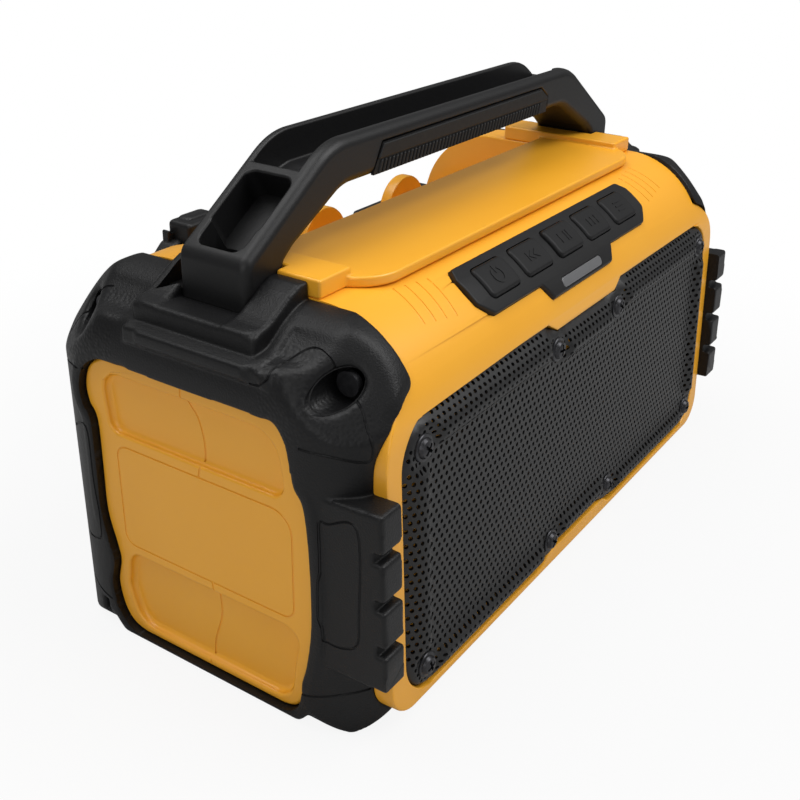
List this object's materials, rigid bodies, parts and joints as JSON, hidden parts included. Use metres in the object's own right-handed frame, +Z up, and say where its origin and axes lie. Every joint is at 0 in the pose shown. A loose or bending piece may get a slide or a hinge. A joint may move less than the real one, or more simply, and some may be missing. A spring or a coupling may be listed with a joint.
{
  "type": "bluetooth speaker",
  "caption": "Rugged portable bluetooth speaker with a carry handle, protective end bumpers, leaning perforated front grille, keypad on the front shoulder and a rear slide-on battery dock",
  "frame": {"origin": "on the ground under the middle of the overall footprint", "axes": "+X along the length to the right seen from the front, the grille faces -Y, +Z up"},
  "size_m": [0.255, 0.1354, 0.1552],
  "materials": {
    "yellow_shell": "satin moulded ABS",
    "black_bumper": "fine-grained moulded plastic",
    "black_handle": "fine-grained moulded nylon",
    "grip_rubber": "ribbed soft rubber",
    "zinc_screw": "zinc plated",
    "black_screw": "black oxide",
    "grille_steel": "black powder coat on perforated sheet",
    "keypad_black": "satin",
    "key_black": "soft matte",
    "lens_grey": "smoked translucent",
    "circuit_board": "solder mask",
    "switch_body": "moulded",
    "basket_steel": "pressed steel",
    "cone_paper": "coated paper",
    "ferrite": "ground ferrite",
    "shield_can": "tinned steel",
    "capacitor_can": "sleeved can",
    "heat_sink_metal": "extruded",
    "black_dock": "moulded nylon",
    "terminal_plastic": "moulded nylon",
    "terminal_brass": "plated strip"
  },
  "bodies": {
    "body": {"front_shell": "yellow_shell", "rear_shell": "yellow_shell", "top_deck": "yellow_shell", "left_bumper": "black_bumper", "right_bumper": "black_bumper", "handle": "black_handle", "handle_grip": "grip_rubber", "handle_screws": "zinc_screw", "bumper_screws": "zinc_screw", "shell_screws": "zinc_screw", "grille": "grille_steel", "grille_screws": "black_screw", "keypad": "keypad_black", "indicator_lens": "lens_grey", "key_board": "circuit_board", "key_switches": "switch_body", "left_basket": "basket_steel", "right_basket": "basket_steel", "left_cone": "cone_paper", "right_cone": "cone_paper", "left_magnet": "ferrite", "right_magnet": "ferrite", "driver_screws": "zinc_screw", "main_board": "circuit_board", "radio_module": "shield_can", "capacitors": "capacitor_can", "heat_sink": "heat_sink_metal", "board_screws": "zinc_screw", "usb_board": "circuit_board", "usb_socket": "shield_can", "battery_dock": "black_dock", "terminal_block": "terminal_plastic", "terminal_blades": "terminal_brass", "dock_screws": "zinc_screw"},
    "power_key_body": {"power_key": "key_black"},
    "previous_key_body": {"previous_key": "key_black"},
    "play_key_body": {"play_key": "key_black"},
    "next_key_body": {"next_key": "key_black"},
    "mode_key_body": {"mode_key": "key_black"}
  },
  "joints": [
    {"name": "power_press", "type": "slide", "parent": "body", "child": "power_key_body", "axis": [0, 0.6157, -0.788], "range_m": [0, 0.0008], "stiffness_N_per_m": 1200},
    {"name": "previous_press", "type": "slide", "parent": "body", "child": "previous_key_body", "axis": [0, 0.6157, -0.788], "range_m": [0, 0.0008], "stiffness_N_per_m": 1200},
    {"name": "play_press", "type": "slide", "parent": "body", "child": "play_key_body", "axis": [0, 0.6157, -0.788], "range_m": [0, 0.0008], "stiffness_N_per_m": 1200},
    {"name": "next_press", "type": "slide", "parent": "body", "child": "next_key_body", "axis": [0, 0.6157, -0.788], "range_m": [0, 0.0008], "stiffness_N_per_m": 1200},
    {"name": "mode_press", "type": "slide", "parent": "body", "child": "mode_key_body", "axis": [0, 0.6157, -0.788], "range_m": [0, 0.0008], "stiffness_N_per_m": 1200}
  ]
}
